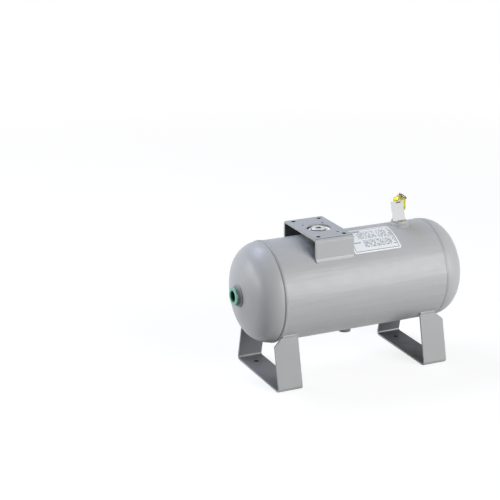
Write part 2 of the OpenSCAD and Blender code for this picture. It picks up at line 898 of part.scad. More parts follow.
// Round pull ring that passes through the stem's eye and rests on the bonnet
module pull_ring() {
    color(dark_steel)
        at_valve()
            translate([0, 0, hinge_z])
                rotate([0, ring_droop, 0])
                    translate([ring_d / 2, 0, 0])
                        rotate_extrude()
                            translate([ring_d / 2, 0])
                                circle(d = ring_wire, $fn = round_fn);
}

// Route of the tag's wire: round the screw's neck, over the shoulder and through the slot.
// In the valve's turned frame -Y is the tag's side. Each row is [x, y, z above the shoulder].
tie_neck = screw_d / 2 + tie_wire / 2 + 0.2;
tie_back = bonnet_d / 2 + tie_wire / 2 + 0.25;
tie_front = tag_v + tag_t / 2 + tie_wire / 2 + 0.15;
tie_slot = slot_z + 0.3 - shoulder_z;
tie_rise = bonnet_cone + tie_wire / 2 + 0.1;

function tie_half(side, v) = [
    [side * 0.5 - tag_side, -v, tie_slot],
    [side * 1.0 - tag_side, -v, -1.2],
    [side * 1.5 - 0.9 * tag_side, -v + (v > tie_back ? 0.7 : 0.1), 0.6],
    [side * 2.2 - 0.6 * tag_side, -tie_back + 1.6, 1.7],
    [side * 3.4 - 0.2 * tag_side, -7.4, 3.1],
    [side * 4.6, -4.2, tie_rise],
    [side * tie_neck, -0.8, tie_rise]];

function tie_round() = [for (a = [30, 60, 90, 120, 150])
    [tie_neck * cos(a), tie_neck * sin(a), tie_rise]];

function reversed(v) = [for (i = [len(v) - 1:-1:0]) v[i]];

module tag_tie() {
    through = [-tag_side, -tag_v, tie_slot - 0.35];
    path = concat([through], tie_half(1, tie_front), tie_round(), reversed(tie_half(-1, tie_back)));
    color(steel)
        at_valve()
            translate([0, 0, shoulder_z])
                tube(path, tie_wire / 2, 8, closed = true);
}

module tag() {
    r = 1.5;
    slot_r = tag_slot_h / 2;
    color(white)
        at_valve()
            translate([-tag_side, -tag_v, slot_z])
                rotate([90, -tag_tilt, 0])
                    difference() {
                        translate([-tag_slot_side, tag_slot_edge - tag_h / 2, -tag_t / 2])
                            rounded_block(tag_w, tag_h, tag_t, r);
                        translate([0, 0, -tag_t / 2 - eps]) {
                            translate([slot_r - tag_slot / 2, -slot_r, 0])
                                cube([tag_slot - tag_slot_h, tag_slot_h, tag_t + 2 * eps]);
                            for (x = [-1, 1])
                                translate([x * (tag_slot / 2 - slot_r), 0, 0])
                                    cylinder(r = slot_r, h = tag_t + 2 * eps, $fn = round_fn);
                        }
                    }
}

shell();
head("left");  // head_left
head("right");  // head_right
girth_weld("left", girth_h_left);  // girth_weld_left
girth_weld("right", girth_h_right);  // girth_weld_right
port_boss("left");  // port_boss_left
port_boss("right");  // port_boss_right
port_cap("left");  // port_cap_left
port_cap("right");  // port_cap_right
top_boss();
top_plug();
top_seal();
drain_boss();
drain_plug();
valve_boss();
foot(foot_left_x, "left");  // foot_left
foot(foot_right_x, "right");  // foot_right
foot_welds();
mounting_bracket();
bracket_welds();
nameplate();
valve_body();
valve_bonnet();
adjusting_screw();
valve_disc();
disc_seal();
valve_spring();
valve_stem();
pull_ring();
tag_tie();
tag();
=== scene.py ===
# Small lying air tank on folded feet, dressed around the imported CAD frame.
# The scene is in metres. Sizes are kept in millimetres, and the stage's mostly in metres.
import json
import math
import bpy
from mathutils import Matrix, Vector

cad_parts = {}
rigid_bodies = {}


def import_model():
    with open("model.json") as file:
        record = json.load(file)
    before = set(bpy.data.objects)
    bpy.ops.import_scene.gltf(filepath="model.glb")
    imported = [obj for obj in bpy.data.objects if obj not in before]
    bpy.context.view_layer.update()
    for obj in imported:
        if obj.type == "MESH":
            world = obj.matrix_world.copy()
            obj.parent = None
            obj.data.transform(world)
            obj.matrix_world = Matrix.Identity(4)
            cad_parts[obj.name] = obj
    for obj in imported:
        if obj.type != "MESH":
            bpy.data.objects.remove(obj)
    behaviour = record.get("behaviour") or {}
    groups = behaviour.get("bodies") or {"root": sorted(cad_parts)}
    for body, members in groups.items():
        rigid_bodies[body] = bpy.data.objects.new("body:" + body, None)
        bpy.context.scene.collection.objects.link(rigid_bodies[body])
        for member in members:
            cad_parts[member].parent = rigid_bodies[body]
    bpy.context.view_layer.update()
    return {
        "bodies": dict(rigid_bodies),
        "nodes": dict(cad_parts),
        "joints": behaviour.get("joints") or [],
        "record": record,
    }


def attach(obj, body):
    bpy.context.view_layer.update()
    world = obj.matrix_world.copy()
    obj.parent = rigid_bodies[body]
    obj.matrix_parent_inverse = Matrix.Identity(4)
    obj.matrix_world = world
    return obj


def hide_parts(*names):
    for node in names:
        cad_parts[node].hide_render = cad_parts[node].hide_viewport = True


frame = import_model()
nodes = frame["nodes"]
mm = 0.001
print("frame loaded:", len(nodes), "nodes")

# camera fitted to the photograph's own view
view = {
    "place": (-1.2266, -2.2529, 1.0714),
    "azimuth": -24.603,
    "elevation": 18.407,
    "lens": 105.14,
    "sensor": 36.0,
}
cameraData = bpy.data.cameras.new("camera")
cameraData.lens = view["lens"]
cameraData.sensor_width = view["sensor"]
cameraData.clip_end = 60
cameraObject = bpy.data.objects.new("camera", cameraData)
cameraObject.location = view["place"]
cameraObject.rotation_euler = (math.radians(90 - view["elevation"]), 0, math.radians(view["azimuth"]))
bpy.context.scene.collection.objects.link(cameraObject)
bpy.context.scene.camera = cameraObject
bpy.context.scene.view_settings.view_transform = "Standard"


# driving sizes in millimetres and degrees
tankSizes = {
    "radius": 93.0,
    "axis": 163.5,        # above the floor
    "seam": 165.5,        # this and the next two from the tank's middle
    "apex": 219.92,
    "crownCentre": 33.92,
    "crown": 186.0,
    "fillet": 4.5,
    "portDiameter": 34.0,
    "sunk": 0.3,          # how deep a bead's middle lies in its fillet
    # place along the tank and diameter
    "topBoss": (-58.0, 36.0),
    "valveBoss": (110.5, 28.0),
    "drainBoss": (0.0, 24.0),
}
footSizes = {
    "shift": -4.3, "pitch": 302.0, "width": 48.0, "length": 179.0, "plate": 3.2, "bend": 7.0,
    "lean": 13.5, "gap": 0.2, "corner": 17.0, "reach": 2.0, "onPlate": 1.5,
}
bracketSizes = {
    "middle": -58.0, "width": 76.0, "length": 132.0, "plate": 4.5, "reach": 3.5, "onPlate": 1.5,
}
valveSizes = {
    "turn": -25.0, "shoulder": 306.0, "bonnetR": 11.5,
    "knurls": 56, "knurlLow": 286.2, "knurlSize": (0.55, 0.62, 5.4), "rooted": 0.05,
    # the split ring hangs from the eye at this height, this far below level
    "hinge": 314.3, "ringR": 7.5, "droop": 32.0, "turns": 1.93, "apart": 0.8,
    "strip": (1.5, 0.38),       # width and half the thickness
}


def valveWay(x, y, z):
    # a direction or a distance in the valve's turned frame, as it lies in the scene
    a = math.radians(valveSizes["turn"])
    return Vector((x * math.cos(a) - y * math.sin(a), x * math.sin(a) + y * math.cos(a), z))


def valvePlace(x, y, z):
    # from the valve's turned frame, in millimetres, to the scene
    return (valveWay(x, y, z) + Vector((tankSizes["valveBoss"][0], 0, 0))) * mm


def linear(hexCode, alpha=1.0):
    out = []
    for i in (0, 2, 4):
        c = int(hexCode[i:i + 2], 16) / 255
        out.append(c / 12.92 if c <= 0.04045 else ((c + 0.055) / 1.055) ** 2.4)
    return (*out, alpha)


def addNode(tree, kind, settings=None, links=None):
    # settings: the node's own choices, or inputs by name or number
    # links: what goes into each input, in a list or by name: a socket, a node or a plain value
    node = tree.nodes.new(kind)
    for name, value in (settings or {}).items():
        if isinstance(name, str) and hasattr(node, name):
            setattr(node, name, value)
        else:
            node.inputs[name].default_value = value
    for name, source in links.items() if isinstance(links, dict) else enumerate(links or ()):
        if isinstance(source, bpy.types.NodeSocket):
            tree.links.new(source, node.inputs[name])
        elif isinstance(source, bpy.types.Node):
            tree.links.new(source.outputs[0], node.inputs[name])
        else:
            node.inputs[name].default_value = source
    return node


def newMaterial(name, **shader):
    material = bpy.data.materials.new(name)
    material.use_nodes = True
    tree = material.node_tree
    tree.nodes.clear()
    output = addNode(tree, "ShaderNodeOutputMaterial")
    surface = addNode(tree, "ShaderNodeBsdfPrincipled", shader)
    tree.links.new(surface.outputs["BSDF"], output.inputs["Surface"])
    return material, tree, surface


def perMm(size):
    # noise scale whose largest features are about this many millimetres
    return 1000.0 / size


def band(low, high):
    # middle and half width in metres of a band given in millimetres, for a Compare node
    return (low + high) / 2 * mm, (high - low) / 2 * mm


def paintedFoldShade(tree, point, film, fold):
    # painted shade: a dark colour inside a folded plate and in its holes
    x, y, z = addNode(tree, "ShaderNodeSeparateXYZ", None, {"Vector": point}).outputs
    lean = math.radians(fold["lean"])
    beside = addNode(tree, "ShaderNodeMath", {"operation": "ABSOLUTE"}, [y])
    rise = addNode(tree, "ShaderNodeMath", {"operation": "MULTIPLY"}, [z, math.sin(lean)])
    out = addNode(tree, "ShaderNodeMath", {"operation": "MULTIPLY_ADD"}, [beside, math.cos(lean), rise])
    # seen from above, from the middle between the two feet or of the bracket
    flat = addNode(tree, "ShaderNodeVectorMath", {"operation": "MULTIPLY"}, [point, (1, 1, 0)])
    offset = addNode(tree, "ShaderNodeVectorMath", {"operation": "SUBTRACT"},
                     [flat, (fold["shift"] * mm, 0, 0)])
    quarter = addNode(tree, "ShaderNodeVectorMath", {"operation": "ABSOLUTE"}, [offset])
    far = addNode(tree, "ShaderNodeSeparateXYZ", None, [quarter]).outputs["X"]
    under = addNode(tree, "ShaderNodeMath", {"operation": "LESS_THAN"}, [out, fold["face"] * mm])
    masks = [
        addNode(tree, "ShaderNodeMath", {"operation": "COMPARE"},
                [far, fold["pitch"] / 2 * mm, fold["half"] * mm]),
        addNode(tree, "ShaderNodeMath", {"operation": "COMPARE"}, [z, *band(0.2, fold["below"])]),
    ]
    if "window" in fold:
        away = addNode(tree, "ShaderNodeVectorMath", {"operation": "LENGTH"}, [offset]).outputs["Value"]
        masks.append(addNode(tree, "ShaderNodeMath", {"operation": "GREATER_THAN"},
                             [away, fold["window"] * mm]))
    for mask in masks:
        under = addNode(tree, "ShaderNodeMath", {"operation": "MULTIPLY"}, [under, mask])
    rightHand = addNode(tree, "ShaderNodeMath", {"operation": "GREATER_THAN"}, [x, fold["shift"] * mm])
    # painted shade: darker again on the right-hand side
    layers = [(rightHand, linear(fold["right"]))]
    if "floor" in fold:
        # painted shade on the folded floor, darker under the far, right-hand foot
        low = addNode(tree, "ShaderNodeMath", {"operation": "LESS_THAN"}, [z, fold["shadeBelow"] * mm])
        ends = addNode(tree, "ShaderNodeMix", {"data_type": "RGBA"}, {
            "Factor": rightHand, 6: linear(fold["floor"][0]), 7: linear(fold["floor"][1])})
        layers.append((low, ends.outputs[2]))
    if "bend" in fold:
        # painted highlight: a pale line on the inner bend, where it catches light
        bent = addNode(tree, "ShaderNodeMath", {"operation": "COMPARE"}, [z, *band(*fold["bend"])])
        layers.append((bent, linear(fold["pale"])))
    # painted shade: the drilled walls are drawn near black
    deep = addNode(tree, "ShaderNodeMath", {"operation": "COMPARE"}, [z, *band(*fold["drilled"])])
    within = addNode(tree, "ShaderNodeMath", {"operation": "LESS_THAN"}, [beside, fold["holesTo"] * mm])
    layers.append((addNode(tree, "ShaderNodeMath", {"operation": "MULTIPLY"}, [deep, within]),
                   linear(fold["bare"])))
    inner = linear(fold["film"])
    for mask, over in layers:
        inner = addNode(tree, "ShaderNodeMix", {"data_type": "RGBA"},
                        {"Factor": mask, 6: inner, 7: over}).outputs[2]
    film = addNode(tree, "ShaderNodeMix", {"data_type": "RGBA"},
                   {"Factor": under, 6: film, 7: inner}).outputs[2]
    if "holeShadeRing" in fold:
        # painted shade: a dark ring round the corner holes makes them read darker and larger
        holeShadeRing = fold["holeShadeRing"]
        away = addNode(tree, "ShaderNodeVectorMath", {"operation": "DISTANCE"},
                       [quarter, (holeShadeRing["x"] * mm, holeShadeRing["y"] * mm, 0)]).outputs["Value"]
        close = addNode(tree, "ShaderNodeMath", {"operation": "LESS_THAN"}, [away, holeShadeRing["radius"] * mm])
        upper = addNode(tree, "ShaderNodeMath", {"operation": "GREATER_THAN"}, [z, fold["below"] * mm])
        ring = addNode(tree, "ShaderNodeMath", {"operation": "MULTIPLY"}, [close, upper])
        film = addNode(tree, "ShaderNodeMix", {"data_type": "RGBA"},
                       {"Factor": ring, 6: film, 7: linear(holeShadeRing["film"])}).outputs[2]
    return film


def steelPaint(name, tint, shade, peel=0.00004, ripple=0.0, roll=0.0, coat=0.09, gloss=(0.35, 0.46),
               fold=None, toe=None, root=None, faced=None):
    # two-pack silver grey on steel: satin, faint orange peel, rounded edges that catch light
    material, tree, surface = newMaterial(name, **{
        "Metallic": 0.0, "Coat Weight": coat, "Coat Roughness": 0.16, "IOR": 1.5,
        "Specular IOR Level": 0.5 if coat else 0.28})
    point = addNode(tree, "ShaderNodeTexCoord").outputs["Object"]
    cloud = addNode(tree, "ShaderNodeTexNoise", {"Scale": perMm(55), "Detail": 2.0}, {"Vector": point})
    film = addNode(tree, "ShaderNodeMix", {"data_type": "RGBA"}, {
        "Factor": cloud, 6: linear(tint), 7: linear(shade)}).outputs[2]
    if fold:
        film = paintedFoldShade(tree, point, film, fold)
    layers = []
    if toe:
        # painted shade: a dark line in the step beside the weld, drawn 1.8 mm wide so that it shows
        x = addNode(tree, "ShaderNodeSeparateXYZ", None, {"Vector": point}).outputs["X"]
        step = addNode(tree, "ShaderNodeMath", {"operation": "COMPARE"},
                       [x, toe["x"] * mm, toe["half"] * mm])
        layers.append((addNode(tree, "ShaderNodeMath", {"operation": "MULTIPLY"}, [step, toe["amount"]]),
                       toe["film"]))
    if root:
        # painted shade: the boss is drawn darker towards its root, where it meets the head
        across = addNode(tree, "ShaderNodeVectorMath", {"operation": "MULTIPLY"}, [point, (0, 1, 1)])
        away = addNode(tree, "ShaderNodeVectorMath", {"operation": "DISTANCE"},
                       [across, (0, 0, tankSizes["axis"] * mm)]).outputs["Value"]
        fade = addNode(tree, "ShaderNodeMapRange", {
            "interpolation_type": "SMOOTHSTEP", "From Min": root["inner"] * mm,
            "From Max": root["outer"] * mm, "To Min": 1.0, "To Max": 0.0}, {"Value": away})
        layers.append((fade, root["film"]))
    if faced:
        # the sealing face is spot-faced after painting and stays bare
        z = addNode(tree, "ShaderNodeSeparateXYZ", None, {"Vector": point}).outputs["Z"]
        bare = addNode(tree, "ShaderNodeMath", {"operation": "GREATER_THAN"}, [z, faced["from"] * mm])
        shine = addNode(tree, "ShaderNodeMath", {"operation": "MULTIPLY"}, [bare, faced["metallic"]])
        tree.links.new(shine.outputs[0], surface.inputs["Metallic"])
        layers.append((bare, faced["film"]))
    for mask, over in layers:
        film = addNode(tree, "ShaderNodeMix", {"data_type": "RGBA"},
                       {"Factor": mask, 6: film, 7: linear(over)}).outputs[2]
    tree.links.new(film, surface.inputs["Base Color"])
    # peel is drawn at 2.6 mm, coarser than the real millimetre, so that it still shows
    skin = addNode(tree, "ShaderNodeTexNoise", {"Scale": perMm(2.6), "Detail": 2.0}, {"Vector": point})
    dust = addNode(tree, "ShaderNodeTexNoise", {"Scale": perMm(14), "Detail": 4.0}, {"Vector": point})
    sheen = addNode(tree, "ShaderNodeMapRange", {
        "From Min": 0.3, "From Max": 0.7, "To Min": gloss[0], "To Max": gloss[1]}, {"Value": dust})
    tree.links.new(sheen.outputs["Result"], surface.inputs["Roughness"])
    # a 0.5 mm round on every cut edge, as the paint leaves it
    normal = addNode(tree, "ShaderNodeBevel", {"samples": 4, "Radius": 0.0005})
    bumps = [(skin, peel)]
    if roll:
        # the plate rolls leave long, shallow waves along the tank
        stretched = addNode(tree, "ShaderNodeMapping", {"Scale": (0.08, 1.0, 1.0)}, {"Vector": point})
        waves = addNode(tree, "ShaderNodeTexNoise", {"Scale": perMm(13), "Detail": 2.0},
                        {"Vector": stretched})
        bumps.insert(0, (waves, roll))
    if ripple:
        # spatter and slag, painted over
        bumps.append((addNode(tree, "ShaderNodeTexNoise", {"Scale": perMm(1.1), "Detail": 3.0},
                              {"Vector": point}), ripple))
    for height, distance in bumps:
        normal = addNode(tree, "ShaderNodeBump", {"Strength": 1.0, "Distance": distance},
                         {"Height": height, "Normal": normal})
    tree.links.new(normal.outputs["Normal"], surface.inputs["Normal"])
    return material


def turnedMetal(name, tint, shade, roughness, groove, radius=0.0002, axisPoint=(0, 0)):
    # lathe-turned or plated metal: faint rings about its own upright axis, worn a little
    material, tree, surface = newMaterial(name, Metallic=1.0, Roughness=roughness)
    point = addNode(tree, "ShaderNodeTexCoord").outputs["Object"]
    centred = addNode(tree, "ShaderNodeMapping",
                      {"Location": (-axisPoint[0], -axisPoint[1], 0)}, {"Vector": point})
    stain = addNode(tree, "ShaderNodeTexNoise", {"Scale": perMm(7), "Detail": 4.0}, {"Vector": point})
    colour = addNode(tree, "ShaderNodeMix", {"data_type": "RGBA"}, {
        "Factor": stain, 6: linear(tint), 7: linear(shade)}).outputs[2]
    tree.links.new(colour, surface.inputs["Base Color"])
    wear = addNode(tree, "ShaderNodeMapRange", {
        "From Min": 0.3, "From Max": 0.7, "To Min": roughness * 0.8, "To Max": roughness * 1.35},
        {"Value": stain})
    tree.links.new(wear.outputs["Result"], surface.inputs["Roughness"])
    # tool marks 3.1 mm apart, much coarser than the real tenth so that they show: one wave of this
    # texture is pi / 10 of its scale's size
    rings = addNode(tree, "ShaderNodeTexWave", {
        "wave_type": "BANDS", "bands_direction": "Z", "Scale": perMm(10), "Distortion": 0.4,
        "Detail": 1.0}, {"Vector": centred})
    edge = addNode(tree, "ShaderNodeBevel", {"samples": 4, "Radius": radius})
    bump = addNode(tree, "ShaderNodeBump", {"Strength": 1.0, "Distance": groove},
                   {"Height": rings.outputs["Fac"], "Normal": edge})
    tree.links.new(bump.outputs["Normal"], surface.inputs["Normal"])
    return material


def mouldedPlastic(name, tint, shade, roughness, grain, sheen=0.0, cup=None, slotShade=None):
    # moulded or calendered soft surface: even colour, fine grain, waxy shine
    material, tree, surface = newMaterial(name, Roughness=roughness, IOR=1.5, **{"Sheen Weight": sheen})
    point = addNode(tree, "ShaderNodeTexCoord").outputs["Object"]
    cloud = addNode(tree, "ShaderNodeTexNoise", {"Scale": perMm(9), "Detail": 3.0}, {"Vector": point})
    tone = addNode(tree, "ShaderNodeMix", {"data_type": "RGBA"}, {
        "Factor": cloud, 6: linear(tint), 7: linear(shade)}).outputs[2]
    layers = []
    if cup:
        # painted shade: the cup's bore is drawn darker the deeper it lies
        x = addNode(tree, "ShaderNodeSeparateXYZ", None, {"Vector": point}).outputs["X"]
        along = addNode(tree, "ShaderNodeMath", {"operation": "ABSOLUTE"}, [x])
        across = addNode(tree, "ShaderNodeVectorMath", {"operation": "MULTIPLY"}, [point, (0, 1, 1)])
        away = addNode(tree, "ShaderNodeVectorMath", {"operation": "DISTANCE"},
                       [across, (0, 0, tankSizes["axis"] * mm)]).outputs["Value"]
        bore = addNode(tree, "ShaderNodeMath", {"operation": "LESS_THAN"}, [away, (cup["bore"] + 0.15) * mm])
        depth = addNode(tree, "ShaderNodeMapRange", {
            "From Min": (cup["face"] + 2.0) * mm, "From Max": (cup["face"] - 2.0) * mm}, {"Value": along})
        deep = addNode(tree, "ShaderNodeMath", {"operation": "MULTIPLY"}, [bore, depth])
        layers.append((deep, cup["deep"]))
    if slotShade:
        # painted shade: a dark patch round the slot makes it read as a dark opening
        tilt = math.radians(slotShade["tilt"])
        flat, upright = valveWay(1, 0, 0), valveWay(0, 0, 1)
        offset = addNode(tree, "ShaderNodeVectorMath", {"operation": "SUBTRACT"},
                         [point, valvePlace(*slotShade["at"])])
        inSlotShade = 1.0
        for way, half in ((flat * math.cos(tilt) + upright * math.sin(tilt), slotShade["half"][0]),
                          (upright * math.cos(tilt) - flat * math.sin(tilt), slotShade["half"][1])):
            along = addNode(tree, "ShaderNodeVectorMath", {"operation": "DOT_PRODUCT"},
                            [offset, way]).outputs["Value"]
            near = addNode(tree, "ShaderNodeMath", {"operation": "COMPARE"}, [along, 0.0, half * mm])
            inSlotShade = addNode(tree, "ShaderNodeMath", {"operation": "MULTIPLY"}, [near, inSlotShade])
        layers.append((inSlotShade, slotShade["slotDark"]))
    for mask, over in layers:
        tone = addNode(tree, "ShaderNodeMix", {"data_type": "RGBA"},
                       {"Factor": mask, 6: tone, 7: linear(over)}).outputs[2]
    tree.links.new(tone, surface.inputs["Base Color"])
    fine = addNode(tree, "ShaderNodeTexNoise", {"Scale": perMm(0.6), "Detail": 3.0}, {"Vector": point})
    edge = addNode(tree, "ShaderNodeBevel", {"samples": 4, "Radius": 0.0003})
    bump = addNode(tree, "ShaderNodeBump", {"Strength": 1.0, "Distance": grain},
                   {"Height": fine, "Normal": edge})
    tree.links.new(bump.outputs["Normal"], surface.inputs["Normal"])
    return material


capSizes = {
    # painted shade: "deep" is the colour the cup's bore darkens to
    "face": 226.72, "bore": 10.75, "deep": "0C4A33",
    # ribs: how far they stand in, how wide and how long they are, and how far behind the cap's face
    "count": 8, "rib": 0.8, "ribWidth": 0.9, "depth": 9.5, "behind": 0.6, "rooted": 0.1,
}
plateSizes = {
    "left": -14.5,     # mm along the tank
    "length": 96.0,
    "upper": 2.3,      # degrees from the top
    "width": 65.0,     # mm round the shell
    "lifted": 0.25,    # the foil's face above the shell
    "rim": 2.6,        # unprinted edge
    "frame": 1.6,      # printed line inside it
    "rule": 1.45,      # height of a dash, coarser than print so that it shows
    "dash": 2.3,
    "gaps": 0.33,      # share of the dashes left out
    # along from and to, down from and to, and the distance between the rows
    "blocks": [(21, 59, 11, 33, 3.4), (63, 91, 9, 35, 3.4), (26, 91, 37, 54, 3.2)],
    "fields": [(7, 17, 22, 25), (7, 21, 40, 43)],
    "header": (5.1, 34.56, 5.6, 11.1),
    "headerInk": "9AA1A8",
    "ink": "25292E",
    "field": "ECF0F4",
    "ground": "FCFDFD",
}


def printedFoil(name, sizes):
    # satin aluminium foil printed white, with ruled rows and grey fields and no words
    material, tree, surface = newMaterial(name, Metallic=0.45, Roughness=0.32, **{
        "Coat Weight": 0.35, "Coat Roughness": 0.12})
    point = addNode(tree, "ShaderNodeTexCoord").outputs["Object"]
    x, y, z = addNode(tree, "ShaderNodeSeparateXYZ", None, {"Vector": point}).outputs
    # u runs along the tank and v down round the shell, in millimetres from the label's corner
    u = addNode(tree, "ShaderNodeMath", {"operation": "MULTIPLY_ADD"}, [x, 1000.0, -sizes["left"]])
    front = addNode(tree, "ShaderNodeMath", {"operation": "MULTIPLY"}, [y, -1.0])
    up = addNode(tree, "ShaderNodeMath", {"operation": "SUBTRACT"}, [z, tankSizes["axis"] * mm])
    angle = addNode(tree, "ShaderNodeMath", {"operation": "ARCTAN2"}, [front, up])
    radius = tankSizes["radius"] + sizes["lifted"]
    v = addNode(tree, "ShaderNodeMath", {"operation": "MULTIPLY_ADD"}, [
        angle, radius, -math.radians(sizes["upper"]) * radius])

    def area(u0, u1, v0, v1):
        sides = [addNode(tree, "ShaderNodeMath", {"operation": "COMPARE"},
                         [way, (low + high) / 2, (high - low) / 2])
                 for way, low, high in ((u, u0, u1), (v, v0, v1))]
        return addNode(tree, "ShaderNodeMath", {"operation": "MULTIPLY"}, sides)

    rim, length, width = sizes["rim"], sizes["length"], sizes["width"]
    inner = area(rim, length - rim, rim, width - rim)
    inset = rim + sizes["frame"]
    clear = area(inset, length - inset, inset, width - inset)
    frame = addNode(tree, "ShaderNodeMath", {"operation": "SUBTRACT"}, [inner, clear])
    # each print: where it lies, its colour and how much it covers
    prints = [(inner, sizes["field"], 1.0), (frame, sizes["ink"], 0.62),
              (area(*sizes["header"]), sizes["headerInk"], 1.0)]
    for u0, u1, v0, v1, pitch in sizes["blocks"]:
        # rows of short dashes, with some left out at random
        down = addNode(tree, "ShaderNodeMath", {"operation": "SUBTRACT"}, [v, v0])
        phase = addNode(tree, "ShaderNodeMath", {"operation": "PINGPONG"}, [down, pitch / 2])
        onLine = addNode(tree, "ShaderNodeMath", {"operation": "LESS_THAN"}, [phase, sizes["rule"] / 2])
        cell = addNode(tree, "ShaderNodeCombineXYZ")
        for i, (way, start, step) in enumerate(((u, 0.0, sizes["dash"]), (v, v0 - pitch / 2, pitch))):
            whole = addNode(tree, "ShaderNodeMath", {"operation": "SUBTRACT"}, [way, start])
            for operation, terms in (("DIVIDE", [step]), ("FLOOR", [])):
                whole = addNode(tree, "ShaderNodeMath", {"operation": operation}, [whole, *terms])
            tree.links.new(whole.outputs[0], cell.inputs[i])
        dice = addNode(tree, "ShaderNodeTexWhiteNoise", None, {"Vector": cell}).outputs["Value"]
        kept = addNode(tree, "ShaderNodeMath", {"operation": "GREATER_THAN"}, [dice, sizes["gaps"]])
        for mask in (onLine, area(u0, u1, v0, v1)):
            kept = addNode(tree, "ShaderNodeMath", {"operation": "MULTIPLY"}, [kept, mask])
        prints.append((kept, sizes["ink"], 0.85))
    prints += [(area(*field), sizes["ink"], 0.55) for field in sizes["fields"]]
    colour = linear(sizes["ground"])
    for mask, ink, cover in prints:
        amount = addNode(tree, "ShaderNodeMath", {"operation": "MULTIPLY"}, [mask, cover])
        colour = addNode(tree, "ShaderNodeMix", {"data_type": "RGBA"},
                         {"Factor": amount, 6: colour, 7: linear(ink)}).outputs[2]
    tree.links.new(colour, surface.inputs["Base Color"])
    # roller waves in the foil
    waves = addNode(tree, "ShaderNodeTexNoise", {"Scale": perMm(16), "Detail": 1.0}, {"Vector": point})
    bump = addNode(tree, "ShaderNodeBump", {"Strength": 1.0, "Distance": 0.00008}, {"Height": waves})
    tree.links.new(bump.outputs["Normal"], surface.inputs["Normal"])
    return material


# all in millimetres: a painted shadow line along the left weld, painted shade at the roots of the port
# bosses, and the bare upper face of the top boss
weldToeShade = {"x": -tankSizes["seam"] - 3.0, "half": 0.9, "amount": 0.76, "film": "5E6164"}
portRootShade = {"inner": 17.2, "outer": 23.0, "film": "717578"}
spotFace = {"from": 267.15, "metallic": 0.75, "film": "DCDEE0"}
# painted shade inside the folded feet and under the bracket, darker on the feet's floors and in the holes,
# with a painted highlight along the feet's inner bend
# "face": inner face of the fold, measured square to it, and "half": half the plate's width, both a
# little shy of the edge; "drilled": height of the holes' walls, which lie nearer than "holesTo"
footFoldShade = {
    "lean": footSizes["lean"], "shift": footSizes["shift"], "pitch": footSizes["pitch"],
    "face": 85.9, "half": 23.8, "below": 120.0,
    "film": "8E9193", "right": "727578", "shadeBelow": 4.5, "floor": ("85888A", "525456"),
    "bend": (4.6, 6.6), "pale": "C6C8C9", "drilled": (0.2, 3.05), "holesTo": 75.0, "bare": "1C1D1E",
}
bracketFoldShade = {
    "lean": 0.0, "shift": bracketSizes["middle"], "pitch": 0.0, "face": 61.7, "half": 37.8,
    "below": 271.1,
    "film": "55585B", "right": "55585B", "window": 24.0,
    "drilled": (266.85, 280.0), "holesTo": 60.0, "bare": "060607",
    "holeShadeRing": {"x": 26.0, "y": 50.0, "radius": 4.3, "film": "2C2D2E"},
}
# painted shade round the tag's slot
tagSlotShade = {
    "at": (-3.4, -13.4, 302.2),     # middle of the slot in the valve's frame
    "tilt": 9.35, "half": (4.0, 1.25), "slotDark": "4B3A33",
}
# one satin grey all over, drier on the plates, and darker in painted shade under the tank and inside the
# feet and bracket
shellPaint = steelPaint("two-pack silver grey on rolled steel", "BFC0C0", "B8BABA", roll=0.0012,
                        gloss=(0.38, 0.49), toe=weldToeShade)
headPaint = steelPaint("two-pack silver grey on dished steel", "BFC0C0", "B8BABA", gloss=(0.38, 0.49),
                       toe=weldToeShade)
# painted shade: the drain boss under the tank is drawn darker
drainPaint = steelPaint("silver grey in painted shade under the tank", "8C8E90", "838587", coat=0.0)
portPaint = steelPaint("silver grey with painted shade at a boss root", "C0C1C1", "B8BABA", root=portRootShade)
facedPaint = steelPaint("silver grey with a bare spot-face", "C0C1C1", "B8BABA", faced=spotFace)
weldPaint = steelPaint("silver grey over weld", "B4B6B6", "A9ABAC", ripple=0.00008, coat=0.06)
wetWeldPaint = steelPaint("silver grey laid wet over weld", "CACCCC", "B6B8B9", ripple=0.00016, coat=0.14)
# painted shade: the feet's paint is drawn a little darker than the shell's
footPaint = steelPaint("silver grey, dry coat on plate, painted shade", "B6B7B7", "ADAFAF", coat=0.0, gloss=(0.48, 0.6),
                       fold=footFoldShade)
bracketPaint = steelPaint("silver grey on folded plate, with painted shade", "C4C5C6", "BCBEBF", coat=0.0, gloss=(0.42, 0.54),
                          fold=bracketFoldShade)
# zinc shines bluish white, its yellow chromate greenish and brass warm, and the oxide is nearly black
plugAxis, valveAxis = ((tankSizes[boss][0] * mm, 0.0) for boss in ("topBoss", "valveBoss"))
zincPlate = turnedMetal("bright zinc plate", "D4D8DB", "B2B7BB", 0.26, 0.00001, axisPoint=plugAxis)
machinedBrass = turnedMetal("machined brass", "DCC45C", "BFA146", 0.29, 0.00001, axisPoint=valveAxis)
yellowZinc = turnedMetal("yellow passivated zinc", "D2CE42", "B4AD30", 0.34, 0.000006, axisPoint=valveAxis)
blackOxide = turnedMetal("oiled black oxide", "161514", "0E0D0C", 0.42, 0.00001, axisPoint=valveAxis)
springWire = turnedMetal("drawn spring wire", "A9ADB0", "8E9295", 0.3, 0.00001, axisPoint=valveAxis)
# waxy green, matt black and a chalky white
polyethylene = mouldedPlastic("moulded green polyethylene", "8AD0B6", "7AC6A9", 0.34, 0.00002, cup=capSizes)
nitrile = mouldedPlastic("matt nitrile rubber", "1B1C1D", "131415", 0.62, 0.00003)
coatedCard = mouldedPlastic("coated white card", "FDFDFC", "F9F9F8", 0.5, 0.00003, sheen=0.1, slotShade=tagSlotShade)
labelFoil = printedFoil("white printed foil", plateSizes)

